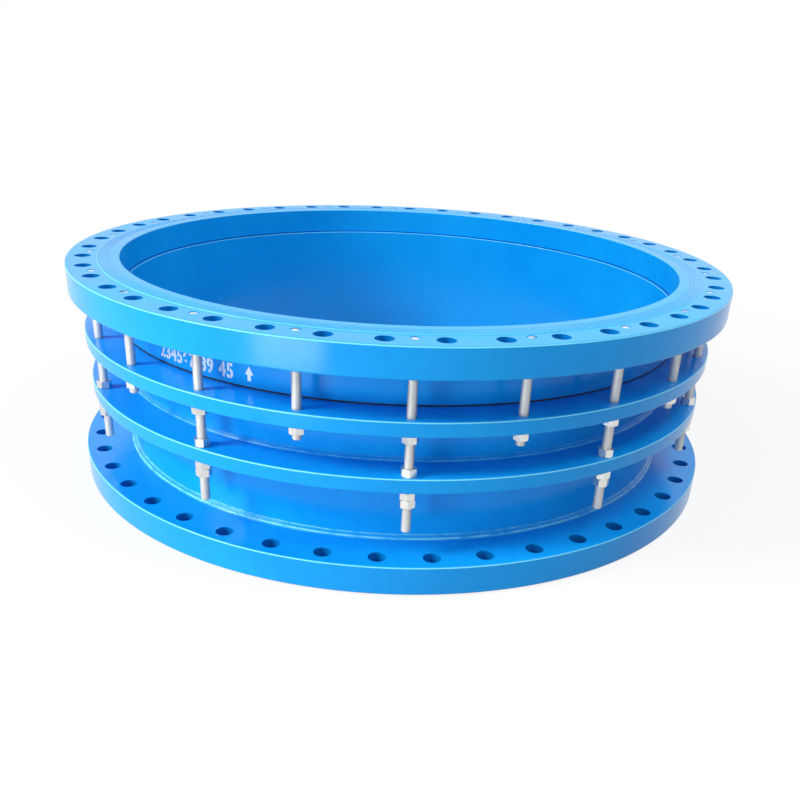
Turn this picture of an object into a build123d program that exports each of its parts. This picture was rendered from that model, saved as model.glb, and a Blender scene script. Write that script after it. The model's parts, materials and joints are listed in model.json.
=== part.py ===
from build123d import *
import os

os.makedirs("parts", exist_ok=True)

# Dismantling joint for a large flanged water main, in millimetres, +Z up.
# The origin is the centre of the bottom flange's sealing face, which the joint stands on.
# The upper half (top flange, socket sleeve, studs) telescopes over the sliding pipe of the lower half.

# Sliding pipe and socket sleeve
pipe_diameter = 1720.0
pipe_wall = 12.0
pipe_setback = 12.0         # pipe end above the bottom sealing face
rim_gap = 2.0               # pipe rim below the top flange
slip_clearance = 0.4        # round the pipe in the flange and limit ring that are welded to it
sleeve_clearance = 3.0
sleeve_wall = 10.0

# Flanges, from the bore outwards
stop_lip = 3.5              # how far the top flange reaches in over the pipe's rim
sealing_width = 63.5        # top flange's bore to the raised face's edge
raised_face_height = 3.0
groove_count = 4
groove_pitch = 8.0
groove_width = 3.0
groove_depth = 1.2
groove_margin = 6.0         # raised face's edge to the first groove
bolt_setout = 40.0          # raised face's edge to the bolt circle
bolt_hole = 46.0
bolt_count = 44
rim_width = 47.5            # bolt circle to the flange's rim
flange_thickness = 79.0
flange_edge_break = 2.0

# Heights between the plates
limit_ring_height = 180.0   # above the bottom flange's back
gland_height = 107.0        # above the limit ring
socket_height = 109.5       # top flange's back above the gland
ring_thickness = 40.0       # gland ring and limit ring
ring_edge_break = 1.5

# Rubber seal, squeezed between the gland, the pipe and the sleeve's bevelled end
seal_band = 4.0             # seal showing between the sleeve's end and the gland
seal_clearance = 0.3
seal_lip = 12.0             # how far the wedge reaches up behind the sleeve's end
sleeve_land = 2.0           # flat left at the sleeve's end, outside its bevel

# Welds, given by their leg
sleeve_weld_leg = 8.0
ring_weld_leg = 10.0
pipe_weld_leg = 13.0

# Studs and nuts
stud_setout = 73.0          # sleeve's outside to the stud circle
stud_count = 22             # long and short by turns
stud_diameter = 24.0
stud_recess = 1.5           # stud end below the top flange's plate
stud_end_chamfer = 2.0
long_stud_tail = 111.0      # below the limit ring
short_stud_tail = 37.0      # below the gland
thread_clearance = 0.3      # round a stud in its tapped hole and in a nut
plate_clearance = 1.5       # round a stud in the gland ring and the limit ring
gland_margin = 28.5         # stud circle to the gland ring's rim
gland_clearance = 3.0       # between the gland ring and the pipe
limit_ring_margin = 22.5    # stud circle to the limit ring's rim
nut_width = 36.0            # across the flats
nut_height = 21.5
nut_chamfer = 1.6

# Heights above the bottom sealing face
bottom_back = raised_face_height + flange_thickness
limit_base = bottom_back + limit_ring_height
limit_top = limit_base + ring_thickness
gland_base = limit_top + gland_height
gland_top = gland_base + ring_thickness
top_back = gland_top + socket_height
top_plate = top_back + flange_thickness
sleeve_end = gland_top + seal_band
pipe_rim = top_back - rim_gap

# Radii, from the pipe outwards
pipe_radius = pipe_diameter / 2
top_bore_radius = pipe_radius - stop_lip
raised_face_radius = top_bore_radius + sealing_width
bolt_circle_radius = raised_face_radius + bolt_setout
flange_radius = bolt_circle_radius + rim_width
sleeve_bore_radius = pipe_radius + sleeve_clearance
sleeve_radius = sleeve_bore_radius + sleeve_wall
stud_circle_radius = sleeve_radius + stud_setout

# Angles: a long stud faces -Y, and the bolt holes lie evenly either side of every stud
stud_pitch = 360.0 / stud_count
bolt_pitch = 360.0 / bolt_count
first_stud = -90.0
first_bolt = first_stud + bolt_pitch / 2


def turned(points):
    """A solid of revolution about Z from (radius, height) corners."""
    with BuildPart() as body:
        with BuildSketch(Plane.XZ):
            with BuildLine():
                Polyline(*points, close=True)
            make_face()
        revolve(axis=Axis.Z)
    return body.part


def round_holes(radius, circle_radius, count, first_angle, low, high):
    """Drills for evenly spaced holes between two heights."""
    drills = []
    for index in range(count):
        angle = first_angle + index * 360.0 / count
        place = Rot(0, 0, angle) * Pos(circle_radius, 0, (low + high) / 2)
        drills.append(place * Cylinder(radius, high - low))
    return drills


def sealing_grooves():
    """Corners of the concentric grooves, from the raised face's edge inwards."""
    corners = []
    for index in range(groove_count):
        outer = raised_face_radius - groove_margin - index * groove_pitch
        middle = outer - groove_width / 2
        corners += [(outer, 0.0), (middle, -groove_depth), (outer - groove_width, 0.0)]
    return corners


def flange_profile(bore_radius):
    """Half section of a flange, face up, with its back at height 0."""
    rim = flange_radius
    face = flange_thickness + raised_face_height
    profile = [
        (bore_radius, 0.0),
        (rim - flange_edge_break, 0.0),
        (rim, flange_edge_break),
        (rim, flange_thickness - flange_edge_break),
        (rim - flange_edge_break, flange_thickness),
        (raised_face_radius, flange_thickness),
        (raised_face_radius, face),
    ]
    profile += [(radius, face + drop) for radius, drop in sealing_grooves()]
    profile.append((bore_radius, face))
    return profile


def ring_plate(bore_radius, rim_radius, base):
    """A flat ring with its outer edges broken."""
    top = base + ring_thickness
    return turned([
        (bore_radius, base),
        (rim_radius - ring_edge_break, base),
        (rim_radius, base + ring_edge_break),
        (rim_radius, top - ring_edge_break),
        (rim_radius - ring_edge_break, top),
        (bore_radius, top),
    ])


def fillet_weld(corner_radius, corner_height, outward, upward):
    """A ring of triangular weld with its square corner at the given radius and height."""
    return turned([
        (corner_radius, corner_height),
        (corner_radius + outward, corner_height),
        (corner_radius, corner_height + upward),
    ])


def flange_bolt_holes(low, high):
    return round_holes(bolt_hole / 2, bolt_circle_radius, bolt_count, first_bolt, low, high)


def stud_holes(clearance, count, low, high):
    return round_holes(stud_diameter / 2 + clearance, stud_circle_radius, count, first_stud, low, high)


def make_top_flange():
    profile = flange_profile(top_bore_radius)
    plate = turned([(radius, top_back + height) for radius, height in profile])
    plate -= flange_bolt_holes(top_back, top_plate)
    return plate - stud_holes(thread_clearance, stud_count, top_back, top_plate)


def make_bottom_flange():
    profile = flange_profile(pipe_radius + slip_clearance)
    plate = turned([(radius, bottom_back - height) for radius, height in profile])
    return plate - flange_bolt_holes(raised_face_height, bottom_back)


def make_socket_sleeve():
    bevel_radius = sleeve_radius - sleeve_land
    bevel = bevel_radius - sleeve_bore_radius
    return turned([
        (sleeve_radius, sleeve_end),
        (sleeve_radius, top_back),
        (sleeve_bore_radius, top_back),
        (sleeve_bore_radius, sleeve_end + bevel),
        (bevel_radius, sleeve_end),
    ])


def make_seal_ring():
    """A wedge ring: flat on the gland, its slope against the sleeve's bevel."""
    bevel_radius = sleeve_radius - sleeve_land
    inner = pipe_radius + seal_clearance
    lip_top = sleeve_end + seal_lip
    lip_radius = sleeve_bore_radius - seal_clearance
    bevel = bevel_radius - sleeve_bore_radius
    return turned([
        (inner, gland_top),
        (sleeve_radius, gland_top),
        (sleeve_radius, sleeve_end - seal_clearance),
        (bevel_radius - seal_clearance, sleeve_end - seal_clearance),
        (lip_radius, sleeve_end + bevel - seal_clearance),
        (lip_radius, lip_top),
        (inner, lip_top),
    ])


def make_sliding_pipe():
    return turned([
        (pipe_radius - pipe_wall, pipe_setback),
        (pipe_radius, pipe_setback),
        (pipe_radius, pipe_rim),
        (pipe_radius - pipe_wall, pipe_rim),
    ])


def make_gland_ring():
    plate = ring_plate(pipe_radius + gland_clearance, stud_circle_radius + gland_margin, gland_base)
    return plate - stud_holes(plate_clearance, stud_count, gland_base, gland_top)


def make_limit_ring():
    plate = ring_plate(pipe_radius + slip_clearance, stud_circle_radius + limit_ring_margin, limit_base)
    return plate - stud_holes(plate_clearance, stud_count // 2, limit_base, limit_top)


def make_stud(index, tail_end):
    """A stud screwed into the top flange, hanging down to its tail's end."""
    top = top_plate - stud_recess
    rod = Cylinder(stud_diameter / 2, top - tail_end)
    rod = chamfer(rod.edges().filter_by(GeomType.CIRCLE), stud_end_chamfer)
    angle = first_stud + index * stud_pitch
    return Rot(0, 0, angle) * Pos(stud_circle_radius, 0, (top + tail_end) / 2) * rod


def make_nuts(count, base):
    """Hexagon nuts round the stud circle, standing on the given height."""
    blank = extrude(RegularPolygon(nut_width / 2, 6, major_radius=False), nut_height)
    crown = Pos(0, 0, nut_height / 2) * Cylinder(nut_width / 3 ** 0.5, nut_height)
    crown = chamfer(crown.edges().filter_by(GeomType.CIRCLE), nut_chamfer)
    bore = Pos(0, 0, nut_height / 2) * Cylinder(stud_diameter / 2 + thread_clearance, nut_height)
    nut = blank & crown
    nut -= bore
    nuts = []
    for index in range(count):
        angle = first_stud + index * 360.0 / count
        nuts.append(Rot(0, 0, angle) * Pos(stud_circle_radius, 0, base) * nut)
    return Compound(nuts)


def make_welds():
    pipe_outside = pipe_radius
    flange_bore = pipe_radius + slip_clearance
    pipe_inside = pipe_radius - pipe_wall
    return {
        "sleeve_weld": fillet_weld(sleeve_radius, top_back, sleeve_weld_leg, -sleeve_weld_leg),
        "limit_ring_weld_top": fillet_weld(pipe_outside, limit_top, ring_weld_leg, ring_weld_leg),
        "limit_ring_weld_under": fillet_weld(pipe_outside, limit_base, ring_weld_leg, -ring_weld_leg),
        "pipe_weld_outer": fillet_weld(pipe_outside, bottom_back, pipe_weld_leg, pipe_weld_leg),
        "pipe_weld_inner": fillet_weld(flange_bore, pipe_setback, pipe_inside - flange_bore, -pipe_setback),
    }


pieces = {
    "top_flange": make_top_flange(),
    "socket_sleeve": make_socket_sleeve(),
    "seal_ring": make_seal_ring(),
    "gland_ring": make_gland_ring(),
    "gland_nuts": make_nuts(stud_count, gland_base - nut_height),
    "bottom_flange": make_bottom_flange(),
    "sliding_pipe": make_sliding_pipe(),
    "limit_ring": make_limit_ring(),
    "limit_nuts_above": make_nuts(stud_count // 2, limit_top),
    "limit_nuts_below": make_nuts(stud_count // 2, limit_base - nut_height),
    "limit_lock_nuts": make_nuts(stud_count // 2, limit_base - 2 * nut_height),
}
pieces.update(make_welds())
for stud in range(stud_count):
    number = stud // 2 + 1
    if stud % 2 == 0:
        pieces[f"long_stud_{number:02d}"] = make_stud(stud, limit_base - long_stud_tail)
    else:
        pieces[f"short_stud_{number:02d}"] = make_stud(stud, gland_base - short_stud_tail)

for name, piece in pieces.items():
    piece.label = name
    export_step(piece, f"parts/{name}.step")
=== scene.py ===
import bpy
import json
import math
import random
from mathutils import Matrix, Vector, noise


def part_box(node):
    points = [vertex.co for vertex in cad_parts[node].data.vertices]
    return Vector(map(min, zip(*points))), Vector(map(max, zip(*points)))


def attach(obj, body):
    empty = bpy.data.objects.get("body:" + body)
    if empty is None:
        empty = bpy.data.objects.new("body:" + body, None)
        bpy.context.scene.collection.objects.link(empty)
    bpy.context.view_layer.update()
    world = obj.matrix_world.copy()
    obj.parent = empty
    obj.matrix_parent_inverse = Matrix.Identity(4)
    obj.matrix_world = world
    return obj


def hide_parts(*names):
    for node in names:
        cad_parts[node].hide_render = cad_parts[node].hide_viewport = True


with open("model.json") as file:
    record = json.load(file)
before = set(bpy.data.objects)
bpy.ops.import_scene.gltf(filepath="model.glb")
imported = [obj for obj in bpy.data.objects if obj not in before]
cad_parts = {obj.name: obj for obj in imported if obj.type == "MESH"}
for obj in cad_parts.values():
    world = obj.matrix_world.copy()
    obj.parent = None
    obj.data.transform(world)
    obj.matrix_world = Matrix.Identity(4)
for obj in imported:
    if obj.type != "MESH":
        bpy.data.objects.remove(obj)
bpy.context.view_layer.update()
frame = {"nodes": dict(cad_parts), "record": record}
nodes = frame["nodes"]
record = frame["record"]
mounts = {mount["name"]: mount for mount in record["mounts"]}
print("frame loaded:", len(nodes), "nodes")


# working helpers

def deselectAll():
    if bpy.context.object and bpy.context.object.mode != "OBJECT":
        bpy.ops.object.mode_set(mode="OBJECT")
    bpy.ops.object.select_all(action="DESELECT")


def pick(*objects):
    deselectAll()
    for item in objects:
        item.select_set(True)
    bpy.context.view_layer.objects.active = objects[0]


def startPiece(name):
    piece = bpy.context.object     # the primitive that was just added
    piece.name = name
    piece.data.name = name
    return piece


def settle(piece):
    pick(piece)
    bpy.ops.object.transform_apply(location=True, rotation=True, scale=True)


def useModifier(piece, kind, **values):
    pick(piece)
    modifier = piece.modifiers.new(kind.lower(), kind)
    for key, value in values.items():
        setattr(modifier, key, value)
    bpy.ops.object.modifier_apply(modifier=modifier.name)


def cleanMesh(piece, merge=1e-6):
    pick(piece)
    bpy.ops.object.mode_set(mode="EDIT")
    bpy.ops.mesh.select_all(action="SELECT")
    bpy.ops.mesh.remove_doubles(threshold=merge)
    bpy.ops.mesh.normals_make_consistent(inside=False)
    bpy.ops.object.mode_set(mode="OBJECT")


def joinPieces(name, pieces):
    pick(*pieces)
    bpy.ops.object.join()
    return startPiece(name)


def copyPiece(piece, name, place):
    twin = bpy.data.objects.new(name, piece.data.copy())     # each copy has its own mesh
    twin.data.name = name
    twin.data.transform(place)
    bpy.context.scene.collection.objects.link(twin)
    return twin


def smoothShade(piece, angle=35, weighted=True):
    pick(piece)
    bpy.ops.object.shade_smooth_by_angle(angle=math.radians(angle))
    if weighted:
        useModifier(piece, "WEIGHTED_NORMAL", keep_sharp=True, weight=90)


def finishPiece(piece, body, slot, material, *replaced):
    piece.data.materials.clear()
    piece.data.materials.append(material)
    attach(piece, body)
    if replaced:
        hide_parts(*replaced)


# sizes that the frame gives

def ringSize(node):
    radii = [math.hypot(vertex.co.x, vertex.co.y) for vertex in nodes[node].data.vertices]
    low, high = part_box(node)
    return {"bore": min(radii), "rim": max(radii), "base": low.z, "top": high.z}


def radiusAtHeight(node, height, reach=0.0001):
    level = [v.co for v in nodes[node].data.vertices if abs(v.co.z - height) < reach]
    return max(math.hypot(point.x, point.y) for point in level)


def nodeCentre(node):
    low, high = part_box(node)
    return (low + high) / 2


def studRadius():
    low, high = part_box("long_stud_01")
    return (high.x - low.x) / 2


def studNodes(prefix):
    return sorted(name for name in nodes if name.startswith(prefix))


def boltRing(name):
    dims = mounts[name]["dims"]
    return {"circle": dims["pcd_mm"] / 2000, "radius": dims["hole_r_mm"] / 1000, "count": dims["count"]}


# camera

cameraSetup = {
    "location": (-0.1178, -2.8115, 1.1768),
    "rotation": (63.242, -2.427, -1.860),     # degrees
    "lens": 38.987,
    "sensor": 36,
    "shiftY": 0.125,
    "clip": (0.05, 60),
}


def makeCamera(setup):
    data = bpy.data.cameras.new("camera")
    data.sensor_width = setup["sensor"]
    data.lens = setup["lens"]
    data.shift_y = setup["shiftY"]
    data.clip_start, data.clip_end = setup["clip"]
    camera = bpy.data.objects.new("camera", data)
    camera.location = setup["location"]
    camera.rotation_euler = [math.radians(angle) for angle in setup["rotation"]]
    bpy.context.scene.collection.objects.link(camera)
    bpy.context.scene.camera = camera


# node graph helpers

def newMaterial(name):
    material = bpy.data.materials.new(name)
    material.use_nodes = True
    material.node_tree.nodes.clear()
    return material, material.node_tree


def addNode(tree, kind, inputs=None, **values):
    node = tree.nodes.new(kind)
    for key, value in values.items():
        setattr(node, key, value)
    for key, value in (inputs or {}).items():
        if isinstance(value, bpy.types.NodeSocket):
            tree.links.new(value, node.inputs[key])
        else:
            node.inputs[key].default_value = value
    return node


def maths(tree, operation, first, second=0.0):
    return addNode(tree, "ShaderNodeMath", {0: first, 1: second}, operation=operation).outputs[0]


def times(tree, first, second):
    return maths(tree, "MULTIPLY", first, second)


def plus(tree, first, second):
    return maths(tree, "ADD", first, second)


def between(tree, value, low, high, start=0.0, end=1.0):
    return addNode(tree, "ShaderNodeMapRange", {
        "Value": value, "From Min": low, "From Max": high, "To Min": start, "To Max": end}).outputs[0]


def mixColour(tree, share, first, second):
    node = addNode(tree, "ShaderNodeMix", {0: share, 6: first, 7: second}, data_type="RGBA")
    return node.outputs[2]


def noiseAt(tree, vector, scale, detail=3.0, roughness=0.5):
    return addNode(tree, "ShaderNodeTexNoise", {
        "Vector": vector, "Scale": scale, "Detail": detail, "Roughness": roughness}).outputs["Fac"]


def addBump(tree, height, distance, strength, under=None):
    inputs = {"Height": height, "Distance": distance, "Strength": strength}
    if under is not None:
        inputs["Normal"] = under
    return addNode(tree, "ShaderNodeBump", inputs).outputs[0]


def straightRays(tree):
    # what the camera sees, also in a reflection or through glass
    rays = addNode(tree, "ShaderNodeLightPath")
    bent = maths(tree, "MAXIMUM", rays.outputs["Is Glossy Ray"], rays.outputs["Is Transmission Ray"])
    return maths(tree, "MAXIMUM", rays.outputs["Is Camera Ray"], bent)


def finishMaterial(tree, inputs):
    shader = addNode(tree, "ShaderNodeBsdfPrincipled", inputs)
    addNode(tree, "ShaderNodeOutputMaterial", {"Surface": shader.outputs[0]})


# blue epoxy

epoxyPaint = {
    "deep": (0.003, 0.325, 0.830, 1),
    "bright": (0.006, 0.385, 0.900, 1),
    "cloudScale": 2.6,
    "mottleScale": 38,
    "mottleShare": 0.3,
    "dustAndSkySheen": (0.05, 0.68, 0.86, 1),       # pale dust on the top flange's face, with a painted sky reflection
    "dustAndSheenShare": 0.22,
    "dustAndSheenAbove": 0.60,
    "dustPatchScale": 9,
    "dustRoughness": 0.5,
    "edge": (0.24, 0.82, 1.0, 1),         # painted highlight along rounded upper edges
    "edgeHighlightShare": 0.9,
    "edgeFrom": (0.05, 0.20),             # how far up a surface faces where the painted highlight comes in
    "edgeUntil": (0.77, 0.70),            # and where it is gone again
    "stepAbove": 0.6377,                  # just over the top flange's plate
    "stepBeyond": 0.890,                  # radius, outside the sealing grooves
    "stepFade": (0.0003, 0.005),          # upwards and outwards
    "stepFrom": (-0.3, -0.1),             # as edgeFrom, on the raised face's step
    "bead": (0.26, 0.88, 1.0, 1),         # painted highlight along a weld's toes
    "beadScale": 26,
    "beadLumps": 0.0006,
    "beadLumpScale": 700,
    "holeShade": (0.001, 0.14, 0.46, 1),      # painted shade inside the bolt holes
    "holeShadeShare": 0.5,
    "holeShadeReach": (0.0012, 0.0003),       # past the hole's wall, fading in
    "specular": 0.22,
    "roughness": (0.12, 0.24),
    "peel": 0.00020,                      # height of the orange peel
    "peelScale": 260,
    "rimLines": 0.00002,                  # cutting lines that show through on the rims
    "rimLineScale": (170.0, 5.0),         # around and up
    "rimLineRoughness": 0.04,
}


def radiusFrom(tree, axes):
    flat = addNode(tree, "ShaderNodeCombineXYZ", {0: axes.outputs["X"], 1: axes.outputs["Y"]}).outputs[0]
    return addNode(tree, "ShaderNodeVectorMath", {0: flat}, operation="LENGTH").outputs["Value"]


def holeShadeMask(tree, axes, turn, bolts, values):
    # full on the walls of an evenly drilled ring of holes, where shade is painted
    step = 2 * math.pi / bolts["count"]
    first = math.radians(bolts["first"])
    place = maths(tree, "DIVIDE", maths(tree, "SUBTRACT", turn, first), step)
    place = maths(tree, "SUBTRACT", maths(tree, "FRACT", plus(tree, place, 0.5)), 0.5)
    along = times(tree, place, step * bolts["circle"])
    across = maths(tree, "SUBTRACT", radiusFrom(tree, axes), bolts["circle"])
    local = addNode(tree, "ShaderNodeCombineXYZ", {0: along, 1: across}).outputs[0]
    reach = addNode(tree, "ShaderNodeVectorMath", {0: local}, operation="LENGTH").outputs["Value"]
    outer, inner = values["holeShadeReach"]
    return between(tree, reach, bolts["radius"] + outer, bolts["radius"] + inner)


def edgeHighlightMask(tree, facing, axes, values, stepped):
    edge = between(tree, facing, *values["edgeFrom"])
    if stepped:
        # the painted highlight also runs all the way down the raised face's own step
        level, edgeRadius = values["stepAbove"], values["stepBeyond"]
        upFade, outFade = values["stepFade"]
        high = between(tree, axes.outputs["Z"], level, level + upFade)
        beyond = between(tree, radiusFrom(tree, axes), edgeRadius, edgeRadius + outFade)
        step = times(tree, times(tree, high, beyond), between(tree, facing, *values["stepFrom"]))
        edge = maths(tree, "MAXIMUM", edge, step)
    edge = times(tree, edge, between(tree, facing, *values["edgeUntil"]))
    return times(tree, edge, values["edgeHighlightShare"])


def toeHighlightMask(tree, place, values):
    toes = addNode(tree, "ShaderNodeAttribute", attribute_name="toeHighlight").outputs["Fac"]
    broken = noiseAt(tree, place, values["beadScale"], 4, 0.6)
    return times(tree, toes, between(tree, broken, 0.36, 0.54, 0.15, 1.0))


def rimLineNoise(tree, turn, facing, axes, values):
    around, up = values["rimLineScale"]
    spread = addNode(tree, "ShaderNodeCombineXYZ", {
        0: times(tree, turn, around), 1: times(tree, axes.outputs["Z"], up)})
    lines = noiseAt(tree, spread.outputs[0], 1.0, 3, 0.6)
    flat = between(tree, maths(tree, "ABSOLUTE", facing), 0.1, 0.6)
    return times(tree, lines, maths(tree, "SUBTRACT", 1.0, flat))


def makeEpoxy(name, values, rimLines=False, lumpy=False, bolts=None):
    material, tree = newMaterial(name)
    place = addNode(tree, "ShaderNodeTexCoord").outputs["Object"]
    normal = addNode(tree, "ShaderNodeNewGeometry").outputs["Normal"]
    facing = addNode(tree, "ShaderNodeSeparateXYZ", {0: normal}).outputs["Z"]
    axes = addNode(tree, "ShaderNodeSeparateXYZ", {0: place})
    turn = maths(tree, "ARCTAN2", axes.outputs["Y"], axes.outputs["X"])

    clouds = noiseAt(tree, place, values["cloudScale"], 4)
    mottle = noiseAt(tree, place, values["mottleScale"], 5, 0.6)
    share = values["mottleShare"]
    blend = plus(tree, times(tree, clouds, 1 - share), times(tree, mottle, share))
    colour = mixColour(tree, between(tree, blend, 0.36, 0.64), values["deep"], values["bright"])

    # pale dust patches, mixed with a painted sky reflection, on the top flange's upward faces
    patches = between(tree, noiseAt(tree, place, values["dustPatchScale"], 6, 0.65), 0.3, 0.7, 0.75, 1.0)
    high = between(tree, axes.outputs["Z"], values["dustAndSheenAbove"], values["dustAndSheenAbove"] + 0.02)
    dustAndSheen = times(tree, between(tree, facing, 0.85, 1.0), patches)
    dustAndSheen = times(tree, dustAndSheen, times(tree, high, values["dustAndSheenShare"]))
    colour = mixColour(tree, dustAndSheen, colour, values["dustAndSkySheen"])
    if bolts:
        # painted shade on the bolt holes' walls
        holeShading = times(tree, holeShadeMask(tree, axes, turn, bolts, values), values["holeShadeShare"])
        colour = mixColour(tree, holeShading, colour, values["holeShade"])
    if lumpy:
        # painted highlight along the weld toes
        colour = mixColour(tree, toeHighlightMask(tree, place, values), colour, values["bead"])
    else:
        # painted highlight along rounded upper edges and the raised face's step
        thin = edgeHighlightMask(tree, facing, axes, values, stepped=bool(bolts))
        colour = mixColour(tree, thin, colour, values["edge"])

    gloss = plus(tree, between(tree, clouds, 0.3, 0.7, *values["roughness"]),
                 times(tree, dustAndSheen, values["dustRoughness"]))
    bumped = None
    if rimLines:
        lines = rimLineNoise(tree, turn, facing, axes, values)
        gloss = plus(tree, gloss, times(tree, lines, values["rimLineRoughness"]))
        bumped = addBump(tree, lines, values["rimLines"], 0.6)
    bumped = addBump(tree, noiseAt(tree, place, values["peelScale"], 2), values["peel"], 0.25, bumped)
    if lumpy:
        lumps = noiseAt(tree, place, values["beadLumpScale"], 4, 0.6)
        bumped = addBump(tree, lumps, values["beadLumps"], 0.6, bumped)
    finishMaterial(tree, {"Base Color": colour, "Roughness": gloss, "Normal": bumped,
                          "Specular IOR Level": values["specular"]})
    return material


# zinc on studs and nuts

zincCoat = {
    "rodPale": (0.95, 0.95, 0.93, 1),
    "rodDull": (0.90, 0.90, 0.88, 1),
    "nutPale": (0.76, 0.76, 0.73, 1),
    "nutDull": (0.68, 0.68, 0.66, 1),
    # painted shade in the thread roots
    "root": (0.74, 0.74, 0.72, 1),
    "nutMetal": 0.9,
    "rodMetal": 0.5,
    "nutRoughness": (0.20, 0.36),
    "rodRoughness": (0.34, 0.46),
    "spangleScale": 260.0,
    "cloudScale": 70,
    "streakScale": 260,
    "streakStretch": 0.12,       # squeezes the streaks' pattern along a rod, so that they run long
    "grain": 0.00003,
}


def makeZinc(name, values, threaded):
    material, tree = newMaterial(name)
    place = addNode(tree, "ShaderNodeTexCoord").outputs["Object"]
    spangle = addNode(tree, "ShaderNodeTexVoronoi", {"Vector": place, "Scale": values["spangleScale"]})
    spangle = addNode(tree, "ShaderNodeSeparateXYZ", {0: spangle.outputs["Color"]}).outputs[0]
    cloud = noiseAt(tree, place, values["cloudScale"], 5, 0.6)
    streaks = addNode(tree, "ShaderNodeMapping", {"Vector": place, "Scale": (1, 1, values["streakStretch"])})
    streak = noiseAt(tree, streaks.outputs[0], values["streakScale"], 4, 0.6)
    blend = plus(tree, times(tree, spangle, 0.3), times(tree, cloud, 0.7))
    part = "rod" if threaded else "nut"
    colour = mixColour(tree, between(tree, blend, 0.25, 0.75), values[part + "Dull"], values[part + "Pale"])
    if threaded:
        # painted shade in the thread roots, darker where the thread is deeper
        depth = addNode(tree, "ShaderNodeAttribute", attribute_name="threadDepth").outputs["Fac"]
        shade = times(tree, depth, between(tree, streak, 0.3, 0.7, 0.45, 0.6))
        colour = mixColour(tree, shade, colour, values["root"])
    wear = plus(tree, times(tree, cloud, 0.6), times(tree, streak, 0.4))
    rough = between(tree, wear, 0.3, 0.7, *values[part + "Roughness"])
    bumped = addBump(tree, plus(tree, cloud, spangle), values["grain"], 0.25)
    finishMaterial(tree, {"Base Color": colour, "Metallic": values[part + "Metal"], "Roughness": rough,
                          "Normal": bumped})
    return material


# seal rubber

sealRubber = {
    "fresh": (0.016, 0.022, 0.034, 1),
    "worn": (0.20, 0.15, 0.11, 1),
    "speckScale": 150,
    "patchScale": 7,
    "grain": 0.0006,
    "roughness": (0.5, 0.8),
    "specular": 0.3,
}


def makeRubber(name, values):
    material, tree = newMaterial(name)
    place = addNode(tree, "ShaderNodeTexCoord").outputs["Object"]
    specks = noiseAt(tree, place, values["speckScale"], 5, 0.65)
    patches = noiseAt(tree, place, values["patchScale"], 3)
    worn = times(tree, between(tree, specks, 0.52, 0.66), between(tree, patches, 0.42, 0.62))
    colour = mixColour(tree, worn, values["fresh"], values["worn"])
    rough = between(tree, specks, 0.3, 0.7, *values["roughness"])
    bumped = addBump(tree, specks, values["grain"], 0.5)
    finishMaterial(tree, {"Base Color": colour, "Roughness": rough, "Normal": bumped,
                          "Specular IOR Level": values["specular"]})
    return material


# stencil paint

stencilPaint = {
    "white": (0.97, 0.98, 0.98, 1),
    "thin": (0.30, 0.62, 0.90, 1),
    "sprayScale": 420,
    "patchScale": 60,
    "grain": 0.0001,
    "roughness": (0.38, 0.6),
}


def makeStencilPaint(name, values):
    material, tree = newMaterial(name)
    place = addNode(tree, "ShaderNodeTexCoord").outputs["Object"]
    spray = noiseAt(tree, place, values["sprayScale"], 4, 0.7)
    patchy = noiseAt(tree, place, values["patchScale"], 3, 0.6)
    thin = times(tree, between(tree, spray, 0.55, 0.70), between(tree, patchy, 0.35, 0.65))
    colour = mixColour(tree, thin, values["white"], values["thin"])
    rough = between(tree, spray, 0.3, 0.7, *values["roughness"])
    bumped = addBump(tree, spray, values["grain"], 0.4)
    finishMaterial(tree, {"Base Color": colour, "Roughness": rough, "Normal": bumped})
    return material


topBolts = boltRing("top_bolts")
firstBolt = -90 + 180 / topBolts["count"]     # a bolt hole lies half a pitch from each stud
drilling = {**topBolts, "first": firstBolt}
flangeEpoxy = makeEpoxy("blueEpoxyOnFlange", epoxyPaint, rimLines=True, bolts=drilling)
plateEpoxy = makeEpoxy("blueEpoxyOnPlate", epoxyPaint, rimLines=True)
pipeEpoxy = makeEpoxy("blueEpoxyOnPipe", epoxyPaint)
weldEpoxy = makeEpoxy("blueEpoxyOnWeld", epoxyPaint, lumpy=True)
zincThread = makeZinc("zincThread", zincCoat, threaded=True)
zincNut = makeZinc("zincNut", zincCoat, threaded=False)
rubber = makeRubber("sealRubber", sealRubber)
whitePaint = makeStencilPaint("stencilWhite", stencilPaint)
print("materials made")


# turned plates and tubes

turning = {"steps": 264, "cornerPoints": 3, "holeSides": 36, "drillOverrun": 0.01}


def rounded(corners):
    # corners are (radius, height, rounding), each rounding drawn as a short curve
    outline = []
    for index, (radius, height, soft) in enumerate(corners):
        here = Vector((radius, height))
        if not soft:
            outline.append(here)
            continue
        before = Vector(corners[index - 1][:2])
        after = Vector(corners[(index + 1) % len(corners)][:2])
        start = here + (before - here).normalized() * soft
        end = here + (after - here).normalized() * soft
        for step in range(turning["cornerPoints"] + 1):
            share = step / turning["cornerPoints"]
            outline.append(start.lerp(here, share).lerp(here.lerp(end, share), share))
    return outline


def turnPiece(name, outline, steps=turning["steps"]):
    deselectAll()
    bpy.ops.mesh.primitive_circle_add(vertices=len(outline), radius=1)
    piece = startPiece(name)
    for vertex, point in zip(piece.data.vertices, outline):
        vertex.co = (point[0], 0, point[1])
    bpy.ops.object.mode_set(mode="EDIT")
    bpy.ops.mesh.select_all(action="SELECT")
    bpy.ops.mesh.spin(steps=steps, angle=2 * math.pi, center=(0, 0, 0), axis=(0, 0, 1))
    bpy.ops.object.mode_set(mode="OBJECT")
    cleanMesh(piece, 1e-5)
    return piece


def softenEdges(piece, width, angle):
    useModifier(piece, "BEVEL", width=width, segments=2, limit_method="ANGLE",
                angle_limit=math.radians(angle))


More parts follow.
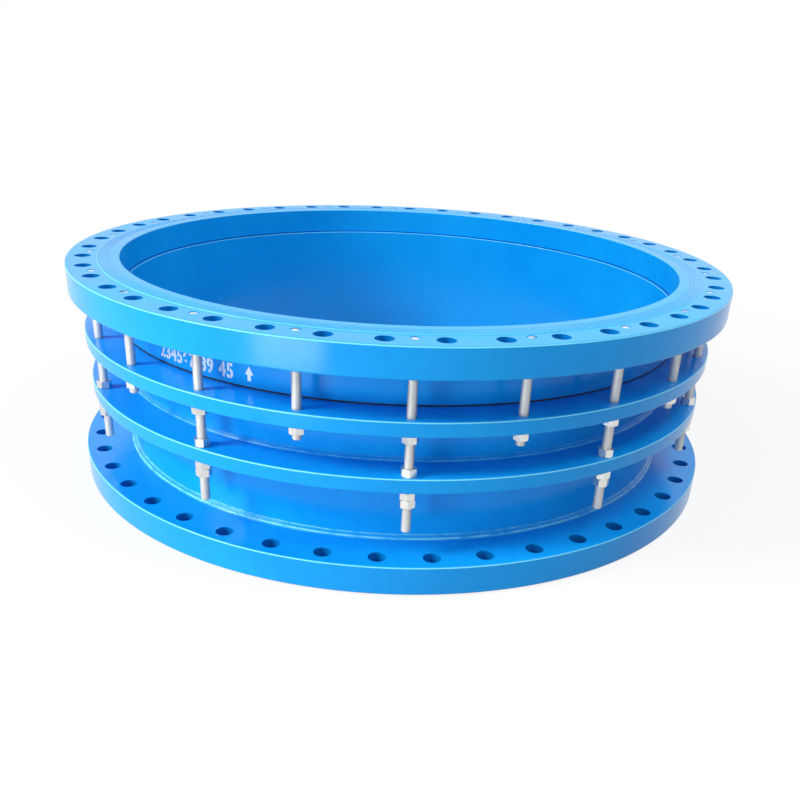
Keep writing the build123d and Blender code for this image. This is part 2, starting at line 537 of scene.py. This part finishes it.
def cutHoles(piece, places, radius, size, soft):
    low, high = size["base"] - turning["drillOverrun"], size["top"] + turning["drillOverrun"]
    cutters = []
    for place in places:
        deselectAll()
        bpy.ops.mesh.primitive_cylinder_add(vertices=turning["holeSides"], radius=radius,
                                            depth=high - low, location=(*place, (low + high) / 2))
        cutters.append(bpy.context.object)
    cutter = joinPieces("cutter", cutters)
    settle(cutter)
    useModifier(piece, "BOOLEAN", object=cutter, operation="DIFFERENCE", solver="EXACT")
    bpy.data.objects.remove(cutter)
    if soft:
        softenEdges(piece, soft, 60)


def circlePlaces(radius, count, firstAngle):
    angles = [math.radians(firstAngle + index * 360 / count) for index in range(count)]
    return [(radius * math.cos(angle), radius * math.sin(angle)) for angle in angles]


flangeLook = {
    "rimRound": 0.0044, "boreRound": 0.0024, "faceRound": 0.0029, "holeRound": 0.0014,
    "tapClearance": 0.0003,
    "rimInset": 0.0003,        # keeps the round rim within the CAD's flat facets
    "grooves": 4, "groovePitch": 0.008, "grooveWidth": 0.003, "grooveDepth": 0.0012,
    "grooveMargin": 0.006,     # raised face's edge to the first groove
}


def flangeOutline(size, plate, faceEdge, values):
    # half section with its raised face up, from the bore at the back and round the rim
    back, face = size["base"], size["top"]
    rim = size["rim"] - values["rimInset"]
    corners = [
        (size["bore"], back, values["boreRound"]),
        (rim, back, values["rimRound"]),
        (rim, plate, values["rimRound"]),
        (faceEdge, plate, 0),
        (faceEdge, face, values["faceRound"]),
    ]
    for index in range(values["grooves"]):
        outer = faceEdge - values["grooveMargin"] - index * values["groovePitch"]
        inner = outer - values["grooveWidth"]
        bottom = face - values["grooveDepth"]
        corners += [(outer, face, 0), ((outer + inner) / 2, bottom, 0), (inner, face, 0)]
    corners.append((size["bore"], face, values["boreRound"]))
    return rounded(corners)


studPlaces = [tuple(nodeCentre(name)[:2]) for name in studNodes("long_stud") + studNodes("short_stud")]
longPlaces = [tuple(nodeCentre(name)[:2]) for name in studNodes("long_stud")]


def makeTopFlange(values):
    size = ringSize("top_flange")
    plate = mounts["top_bolts"]["pos_m"][2]
    outline = flangeOutline(size, plate, radiusAtHeight("top_flange", size["top"]), values)
    piece = turnPiece("topFlange", outline)
    boltPlaces = circlePlaces(topBolts["circle"], topBolts["count"], firstBolt)
    cutHoles(piece, boltPlaces, topBolts["radius"], size, 0)     # rounded with the tapped holes
    cutHoles(piece, studPlaces, studRadius() + values["tapClearance"], size, values["holeRound"])
    smoothShade(piece)
    finishPiece(piece, "upper_half", "blue_epoxy", flangeEpoxy, "top_flange")


def makeBottomFlange(values):
    size = ringSize("bottom_flange")
    plate = mounts["bottom_bolts"]["pos_m"][2]
    flipped = {"bore": size["bore"], "rim": size["rim"], "base": -size["top"], "top": -size["base"]}
    outline = flangeOutline(flipped, -plate, radiusAtHeight("bottom_flange", size["base"]), values)
    piece = turnPiece("bottomFlange", [(radius, -height) for radius, height in outline])
    bolts = boltRing("bottom_bolts")
    boltPlaces = circlePlaces(bolts["circle"], bolts["count"], firstBolt)
    cutHoles(piece, boltPlaces, bolts["radius"], size, values["holeRound"])
    smoothShade(piece)
    finishPiece(piece, "lower_half", "blue_epoxy", flangeEpoxy, "bottom_flange")


ringLook = {"edgeRound": 0.0044, "holeRound": 0.0010, "holeClearance": 0.0015}


def makeRingPlate(name, node, body, places, values):
    size = ringSize(node)
    soft = values["edgeRound"]
    corners = [(size["bore"], size["base"], 0), (size["rim"], size["base"], soft),
               (size["rim"], size["top"], soft), (size["bore"], size["top"], 0)]
    piece = turnPiece(name, rounded(corners))
    cutHoles(piece, places, studRadius() + values["holeClearance"], size, values["holeRound"])
    smoothShade(piece)
    finishPiece(piece, body, "blue_epoxy", plateEpoxy, node)


makeTopFlange(flangeLook)
makeBottomFlange(flangeLook)
makeRingPlate("glandRing", "gland_ring", "gland", studPlaces, ringLook)
makeRingPlate("limitRing", "limit_ring", "lower_half", longPlaces, ringLook)
print("flanges and rings turned and drilled")


pipeLook = {"edgeRound": 0.0012, "boreRound": 0.0022}


def makeSlidingPipe(values):
    size = ringSize("sliding_pipe")
    soft = values["edgeRound"]
    corners = [(size["bore"], size["base"], 0), (size["rim"], size["base"], 0),
               (size["rim"], size["top"], soft), (size["bore"], size["top"], values["boreRound"])]
    piece = turnPiece("slidingPipe", rounded(corners))
    smoothShade(piece)
    finishPiece(piece, "lower_half", "blue_epoxy", pipeEpoxy, "sliding_pipe")


sleeveLook = {"edgeRound": 0.0008, "land": 0.002}


def makeSocketSleeve(values):
    size = ringSize("socket_sleeve")
    bevelEdge = size["rim"] - values["land"]
    bevel = bevelEdge - size["bore"]
    corners = [(size["rim"], size["base"], values["edgeRound"]), (size["rim"], size["top"], 0),
               (size["bore"], size["top"], 0), (size["bore"], size["base"] + bevel, 0),
               (bevelEdge, size["base"], 0)]
    piece = turnPiece("socketSleeve", rounded(corners))
    smoothShade(piece)
    finishPiece(piece, "upper_half", "blue_epoxy", pipeEpoxy, "socket_sleeve")


sealLook = {"edgeRound": 0.0004}


def makeSealRing(values):
    piece = copyPiece(nodes["seal_ring"], "sealRing", Matrix.Identity(4))
    cleanMesh(piece)
    softenEdges(piece, values["edgeRound"], 30)
    smoothShade(piece)
    finishPiece(piece, "upper_half", "seal_rubber", rubber, "seal_ring")


makeSlidingPipe(pipeLook)
makeSocketSleeve(sleeveLook)
makeSealRing(sealLook)
print("pipe, sleeve and seal made")


# weld beads

weldLook = {
    "steps": 880, "sections": 12, "seed": 7,
    "swells": [(0.10, 24, 14), (0.07, 68, 12)],         # rise, middle and spread, in degrees over the bead
    "toes": [(1.0, 24, 9), (0.8, 82, 6)],               # shine, middle and spread of the painted highlight
    "lumps": [(0.10, 30), (0.09, 90), (0.05, 240)],     # rise and fineness
    "cornerReach": 0.0005,                              # nearer its corner than this, a bead isn't lumpy
    "lowest": 0.0005,                                   # no bead hangs lower than this above the floor
}
weldRuns = [
    # out and up tell which way the bead grows from its corner
    {"piece": "sleeveWeld", "node": "sleeve_weld", "body": "upper_half", "out": 1, "up": -1,
     "rough": 0.5, "shine": 0.4},
    {"piece": "limitWeldTop", "node": "limit_ring_weld_top", "body": "lower_half", "out": 1, "up": 1,
     "rough": 0.7, "shine": 0.6},
    {"piece": "limitWeldUnder", "node": "limit_ring_weld_under", "body": "lower_half", "out": 1, "up": -1,
     "rough": 0.7, "shine": 0.4},
    {"piece": "pipeWeldOuter", "node": "pipe_weld_outer", "body": "lower_half", "out": 1, "up": 1,
     "rough": 1.0, "shine": 1.0},
    {"piece": "pipeWeldInner", "node": "pipe_weld_inner", "body": "lower_half", "out": -1, "up": -1,
     "rough": 0.4, "shine": 0.4},
]


def bump(angle, middle, spread):
    return math.exp(-((angle - middle) / spread) ** 2)


def makeWeld(run, values):
    size = ringSize(run["node"])
    outLeg, upLeg = size["rim"] - size["bore"], size["top"] - size["base"]
    cornerRadius = size["bore"] if run["out"] > 0 else size["rim"]
    cornerHeight = size["base"] if run["up"] > 0 else size["top"]
    outline = [(cornerRadius, cornerHeight)]
    angles = [90 * index / (values["sections"] - 1) for index in range(values["sections"])]
    for angle in angles:
        across, along = math.cos(math.radians(angle)), math.sin(math.radians(angle))
        reach = 1 / (across + along)
        reach += sum(rise * bump(angle, middle, spread) for rise, middle, spread in values["swells"])
        outline.append((cornerRadius + run["out"] * outLeg * reach * across,
                        cornerHeight + run["up"] * upLeg * reach * along))
    piece = turnPiece(run["piece"], outline, values["steps"])
    # strength of the painted highlight along the toes, kept per point
    toeHighlight = []
    for vertex in piece.data.vertices:
        radius = math.hypot(vertex.co.x, vertex.co.y)
        across, along = radius - cornerRadius, vertex.co.z - cornerHeight
        turn = math.degrees(math.atan2(abs(along) / upLeg, abs(across) / outLeg))
        toe = max(shine * bump(turn, middle, spread) for shine, middle, spread in values["toes"])
        toeHighlight.append(toe * run["shine"])
        if math.hypot(across, along) < values["cornerReach"]:
            continue
        spot = vertex.co + Vector((0, 0, values["seed"]))
        lump = sum(noise.noise(spot * fineness) * rise for rise, fineness in values["lumps"])
        scale = 1 + lump * run["rough"]
        newRadius = cornerRadius + across * scale
        vertex.co = (vertex.co.x / radius * newRadius, vertex.co.y / radius * newRadius,
                     max(cornerHeight + along * scale, values["lowest"]))
    toes = piece.data.attributes.new("toeHighlight", "FLOAT", "POINT")
    toes.data.foreach_set("value", toeHighlight)
    smoothShade(piece, 60, weighted=False)
    finishPiece(piece, run["body"], "blue_epoxy", weldEpoxy, run["node"])


for weldRun in weldRuns:
    makeWeld(weldRun, weldLook)
print("weld beads made")


# studs

threadLook = {
    "pitch": 0.003, "depth": 0.0011, "steps": 16,
    "crest": 0.25, "root": 0.2,     # flats as shares of the pitch
    "spareTurns": 2,                # beyond each end, cut off again
    "endChamfer": 0.0024,
}


def makeThreadedRod(name, node, values):
    low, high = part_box(node)
    crest = (high.x - low.x) / 2
    root = crest - values["depth"]
    pitch = values["pitch"]
    turns = math.ceil((high.z - low.z) / pitch) + 2 * values["spareTurns"]
    flank = (1 - values["crest"] - values["root"]) / 2
    levels = [0, values["root"], values["root"] + flank, values["root"] + flank + values["crest"], 1]
    radii = [root, root, crest, crest, root]
    deselectAll()
    bpy.ops.mesh.primitive_plane_add(size=1)
    piece = startPiece(name)
    bpy.ops.object.mode_set(mode="EDIT")
    bpy.ops.mesh.select_all(action="SELECT")
    bpy.ops.mesh.merge(type="CENTER")
    for _ in range(len(levels) - 1):
        bpy.ops.mesh.extrude_vertices_move()
    bpy.ops.object.mode_set(mode="OBJECT")
    start = low.z - values["spareTurns"] * pitch
    for vertex, level, radius in zip(piece.data.vertices, levels, radii):
        vertex.co = (radius, 0, start + level * pitch)
    useModifier(piece, "SCREW", axis="Z", angle=2 * math.pi, screw_offset=pitch, iterations=turns,
                steps=values["steps"], render_steps=values["steps"], use_merge_vertices=True,
                merge_threshold=1e-6)
    pick(piece)
    bpy.ops.object.mode_set(mode="EDIT")
    for height, side in ((low.z, {"clear_inner": True}), (high.z, {"clear_outer": True})):
        bpy.ops.mesh.select_all(action="SELECT")
        bpy.ops.mesh.bisect(plane_co=(0, 0, height), plane_no=(0, 0, 1), use_fill=True, **side)
    bpy.ops.object.mode_set(mode="OBJECT")
    for vertex in piece.data.vertices:
        fromEnd = min(vertex.co.z - low.z, high.z - vertex.co.z)
        limit = crest - max(0, values["endChamfer"] - fromEnd)
        radius = math.hypot(vertex.co.x, vertex.co.y)
        if radius > limit:
            vertex.co.x *= limit / radius
            vertex.co.y *= limit / radius
    cleanMesh(piece)
    radii = [math.hypot(vertex.co.x, vertex.co.y) for vertex in piece.data.vertices]
    depths = [(crest - radius) / values["depth"] for radius in radii]
    shown = piece.data.attributes.new("threadDepth", "FLOAT", "POINT")
    shown.data.foreach_set("value", [min(1, max(0, depth)) for depth in depths])
    return piece


def makeStuds(prefix, title, values):
    names = studNodes(prefix)
    model = makeThreadedRod(title + "Model", names[0], values)
    smoothShade(model, 50, weighted=False)
    dice = random.Random(title)
    for index, node in enumerate(names):
        centre = nodeCentre(node)
        spin = Matrix.Rotation(dice.uniform(0, 2 * math.pi), 4, "Z")
        place = Matrix.Translation((centre.x, centre.y, 0)) @ spin
        piece = copyPiece(model, f"{title}{index + 1:02d}", place)
        finishPiece(piece, "upper_half", "zinc_plated_steel", zincThread, node)
    bpy.data.objects.remove(model)


makeStuds("long_stud", "longStud", threadLook)
makeStuds("short_stud", "shortStud", threadLook)
print("studs threaded")


# nuts

nutLook = {
    "acrossFlats": 0.036, "chamferAngle": 30, "boreClearance": 0.0002, "edgeRound": 0.0005,
    "faceMargin": 0.0005,      # flat face kept inside the flats
    "countersink": 0.0015,
    "overrun": 0.002,          # how far the reamer stands out of the nut
    "nearAxis": 0.0001,        # keeps a turned tool's outline off its own axis
    "crownSteps": 48, "reamerSteps": 32,
    "seed": 24,
}


def makeNutModel(height, values):
    corner = values["acrossFlats"] / math.sqrt(3)
    deselectAll()
    bpy.ops.mesh.primitive_cylinder_add(vertices=6, radius=corner, depth=height, location=(0, 0, height / 2))
    nut = startPiece("nutModel")
    settle(nut)
    face, outside = values["acrossFlats"] / 2 - values["faceMargin"], corner + values["faceMargin"]
    lean = (corner - face) * math.tan(math.radians(values["chamferAngle"]))
    axis = values["nearAxis"]
    crown = turnPiece("crown", [(axis, 0), (face, 0), (outside, lean), (outside, height - lean),
                                (face, height), (axis, height)], values["crownSteps"])
    useModifier(nut, "BOOLEAN", object=crown, operation="INTERSECT", solver="EXACT")
    bpy.data.objects.remove(crown)
    bore, sunk, past = studRadius() + values["boreClearance"], values["countersink"], values["overrun"]
    mouth = bore + sunk + past
    reamer = turnPiece("reamer", [(axis / 2, -past), (mouth, -past), (bore, sunk), (bore, height - sunk),
                                  (mouth, height + past), (axis / 2, height + past)], values["reamerSteps"])
    useModifier(nut, "BOOLEAN", object=reamer, operation="DIFFERENCE", solver="EXACT")
    bpy.data.objects.remove(reamer)
    softenEdges(nut, values["edgeRound"], 25)
    smoothShade(nut, 30)
    return nut


nutRuns = [
    {"piece": "glandNuts", "node": "gland_nuts", "body": "gland", "places": studPlaces},
    {"piece": "limitNutsAbove", "node": "limit_nuts_above", "body": "lower_half", "places": longPlaces},
    {"piece": "limitNutsBelow", "node": "limit_nuts_below", "body": "lower_half", "places": longPlaces},
    {"piece": "limitLockNuts", "node": "limit_lock_nuts", "body": "lower_half", "places": longPlaces},
]


def makeNuts(runs, values):
    dice = random.Random(values["seed"])
    for run in runs:
        low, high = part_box(run["node"])
        model = makeNutModel(high.z - low.z, values)
        copies = []
        for place in run["places"]:
            spin = Matrix.Rotation(dice.uniform(0, math.pi / 3), 4, "Z")
            copies.append(copyPiece(model, "nut", Matrix.Translation((*place, low.z)) @ spin))
        bpy.data.objects.remove(model)
        finishPiece(joinPieces(run["piece"], copies), run["body"], "zinc_plated_steel", zincNut, run["node"])


makeNuts(nutRuns, nutLook)
print("nuts made")


# stencilled numerals and arrow on the sleeve

stencilMark = {
    "words": ["234567", "89", "45"],
    "height": 0.039,          # of a numeral
    "squeeze": 0.82,          # width of a numeral against the plain lettering
    "middle": 0.4865,         # height of the line above the floor
    "start": -136.7,          # degrees round the sleeve, where the line begins
    "gap": 0.015,             # between groups
    "advance": 0.0244,        # from one numeral to the next
    "arrowGap": 0.018,        # added before the arrow
    "bridge": 0.0024,         # width of the stencil's bridges
    "weight": 0.0017,         # added round each stroke
    "capShare": 0.74,         # a numeral's height against the lettering's size
    "headRadius": 0.36,       # of the arrow, and its other sizes, as shares of a numeral's height
    "headMiddle": 0.62,
    "shaftSize": (0.24, 0.5),
    "shaftMiddle": 0.28,
    "standOff": 0.0001,       # between the sleeve and the paint's underside
    "lift": 0.0003,
}


def cutBridge(piece, middle, width):
    # takes a thin upright strip out of a numeral, as a stencil's bridge does
    twin = copyPiece(piece, "half", Matrix.Identity(4))
    sides = ((piece, -width / 2, {"clear_outer": True}), (twin, width / 2, {"clear_inner": True}))
    for half, offset, side in sides:
        pick(half)
        bpy.ops.object.mode_set(mode="EDIT")
        bpy.ops.mesh.select_all(action="SELECT")
        bpy.ops.mesh.bisect(plane_co=(middle + offset, 0, 0), plane_no=(1, 0, 0), **side)
        bpy.ops.object.mode_set(mode="OBJECT")
    return joinPieces("numeral", [piece, twin])


def drawNumeral(figure, values):
    deselectAll()
    bpy.ops.object.text_add()
    text = bpy.context.object
    text.data.body = figure
    text.data.size = values["height"] / values["capShare"]
    text.data.offset = values["weight"]
    bpy.ops.object.convert(target="MESH")
    piece = startPiece("numeral")
    corners = [vertex.co.x for vertex in piece.data.vertices]
    middle = (min(corners) + max(corners)) / 2
    piece.data.transform(Matrix.Translation((-middle, 0, 0)))
    piece.data.transform(Matrix.Diagonal((values["squeeze"], 1, 1, 1)))
    return cutBridge(piece, 0, values["bridge"])


def drawArrow(values):
    deselectAll()
    height = values["height"]
    bpy.ops.mesh.primitive_cylinder_add(vertices=3, radius=height * values["headRadius"], depth=0.001,
                                        end_fill_type="NGON")
    head = bpy.context.object
    head.data.transform(Matrix.Translation((0, height * values["headMiddle"], 0)))
    bpy.ops.mesh.primitive_plane_add(size=1)
    shaft = bpy.context.object
    width, length = values["shaftSize"]
    narrow = Matrix.Diagonal((height * width, height * length, 1, 1))
    shaft.data.transform(Matrix.Translation((0, height * values["shaftMiddle"], 0)) @ narrow)
    pick(head)
    bpy.ops.object.mode_set(mode="EDIT")
    bpy.ops.mesh.select_all(action="SELECT")
    bpy.ops.mesh.bisect(plane_co=(0, 0, 0), plane_no=(0, 0, 1),
                        clear_inner=True, clear_outer=True, use_fill=True)
    bpy.ops.object.mode_set(mode="OBJECT")
    return joinPieces("arrow", [head, shaft])


def makeStencil(values):
    size = ringSize("socket_sleeve")
    parts, along = [], 0.0
    for word in values["words"]:
        for figure in word:
            part = drawNumeral(figure, values)
            part.data.transform(Matrix.Translation((along, 0, 0)))
            parts.append(part)
            along += values["advance"]
        along += values["gap"]
    arrow = drawArrow(values)
    arrow.data.transform(Matrix.Translation((along + values["arrowGap"], 0, 0)))
    mark = joinPieces("stencilMark", parts + [arrow])
    pick(mark)
    bpy.ops.object.mode_set(mode="EDIT")
    bpy.ops.mesh.select_all(action="SELECT")
    bpy.ops.mesh.remove_doubles(threshold=1e-5)
    bpy.ops.mesh.quads_convert_to_tris()
    bpy.ops.mesh.subdivide(number_cuts=1)
    bpy.ops.mesh.normals_make_consistent(inside=False)
    bpy.ops.object.mode_set(mode="OBJECT")
    radius = size["rim"] + values["standOff"]
    for vertex in mark.data.vertices:
        angle = math.radians(values["start"]) + vertex.co.x / radius
        height = values["middle"] + vertex.co.y - values["height"] / 2
        vertex.co = (radius * math.cos(angle), radius * math.sin(angle), height)
    useModifier(mark, "SOLIDIFY", thickness=values["lift"], offset=1)
    finishPiece(mark, "upper_half", "blue_epoxy", whitePaint)


makeStencil(stencilMark)
print("stencil painted")


# floor, light and world

stageSetup = {
    "floorRadius": 9.0,
    "floorDrop": 0.0002,
    "floorWhite": (0.96, 0.94, 0.90, 1),
    "floorBounce": (0.36, 0.38, 0.40, 1),     # what the floor throws back onto the joint
    "shadowShare": 0.16,
    "shadowReach": (1.3, 3.2),                # from the middle, where the shadow fades into white
    "worldFill": (0.36, 0.40, 0.45, 1),
}


def makeFloor(values):
    deselectAll()
    bpy.ops.mesh.primitive_circle_add(vertices=96, radius=values["floorRadius"], fill_type="NGON",
                                      location=(0, 0, -values["floorDrop"]))
    floor = startPiece("floor")
    settle(floor)
    material, tree = newMaterial("paleFloor")
    seen = straightRays(tree)
    place = addNode(tree, "ShaderNodeTexCoord").outputs["Object"]
    distance = addNode(tree, "ShaderNodeVectorMath", {0: place}, operation="LENGTH").outputs["Value"]
    share = between(tree, distance, *values["shadowReach"], 1 - values["shadowShare"], 1.0)
    glow = addNode(tree, "ShaderNodeEmission", {"Color": (1, 1, 1, 1), "Strength": 1.0})
    matt = addNode(tree, "ShaderNodeBsdfDiffuse", {
        "Color": mixColour(tree, seen, values["floorBounce"], values["floorWhite"])})
    mixed = addNode(tree, "ShaderNodeMixShader", {
        0: times(tree, seen, share), 1: matt.outputs[0], 2: glow.outputs[0]})
    addNode(tree, "ShaderNodeOutputMaterial", {"Surface": mixed.outputs[0]})
    floor.data.materials.append(material)


def makeWorld(values):
    world = bpy.data.worlds.new("studio")
    world.use_nodes = True
    tree = world.node_tree
    tree.nodes.clear()
    seen = straightRays(tree)
    colour = mixColour(tree, seen, values["worldFill"], (1, 1, 1, 1))
    light = addNode(tree, "ShaderNodeBackground", {"Color": colour, "Strength": 1.0})
    addNode(tree, "ShaderNodeOutputWorld", {"Surface": light.outputs[0]})
    bpy.context.scene.world = world


lamps = [
    {"name": "keyLight", "place": (-8.4, -2.7, 6.2), "aim": (0, 0, 0.3),
     "size": (3.2, 3.2), "power": 920},
    {"name": "frontLight", "place": (-2.7, -3.4, 0.35), "aim": (0, 0, 0.4),
     "size": (1.4, 0.5), "power": 33},
    {"name": "lowLight", "place": (-1.3, -2.3, 0.12), "aim": (-0.37, -0.79, 0.48),
     "size": (0.8, 0.3), "power": 8},
    {"name": "overheadLight", "place": (1.5, -1.1, 3.4), "aim": (0, 0, 0.4),
     "size": (2.4, 1.6), "power": 50},
]


def makeLamp(values):
    data = bpy.data.lights.new(values["name"], "AREA")
    data.shape = "RECTANGLE"
    data.size, data.size_y = values["size"]
    data.energy = values["power"]
    lamp = bpy.data.objects.new(values["name"], data)
    lamp.location = values["place"]
    lamp.visible_camera = False
    aim = Vector(values["aim"]) - Vector(values["place"])
    lamp.rotation_euler = aim.to_track_quat("-Z", "Y").to_euler()
    bpy.context.scene.collection.objects.link(lamp)


makeFloor(stageSetup)
makeWorld(stageSetup)
for lampValues in lamps:
    makeLamp(lampValues)
makeCamera(cameraSetup)
bpy.context.scene.view_settings.view_transform = "Standard"
print("stage and camera set")
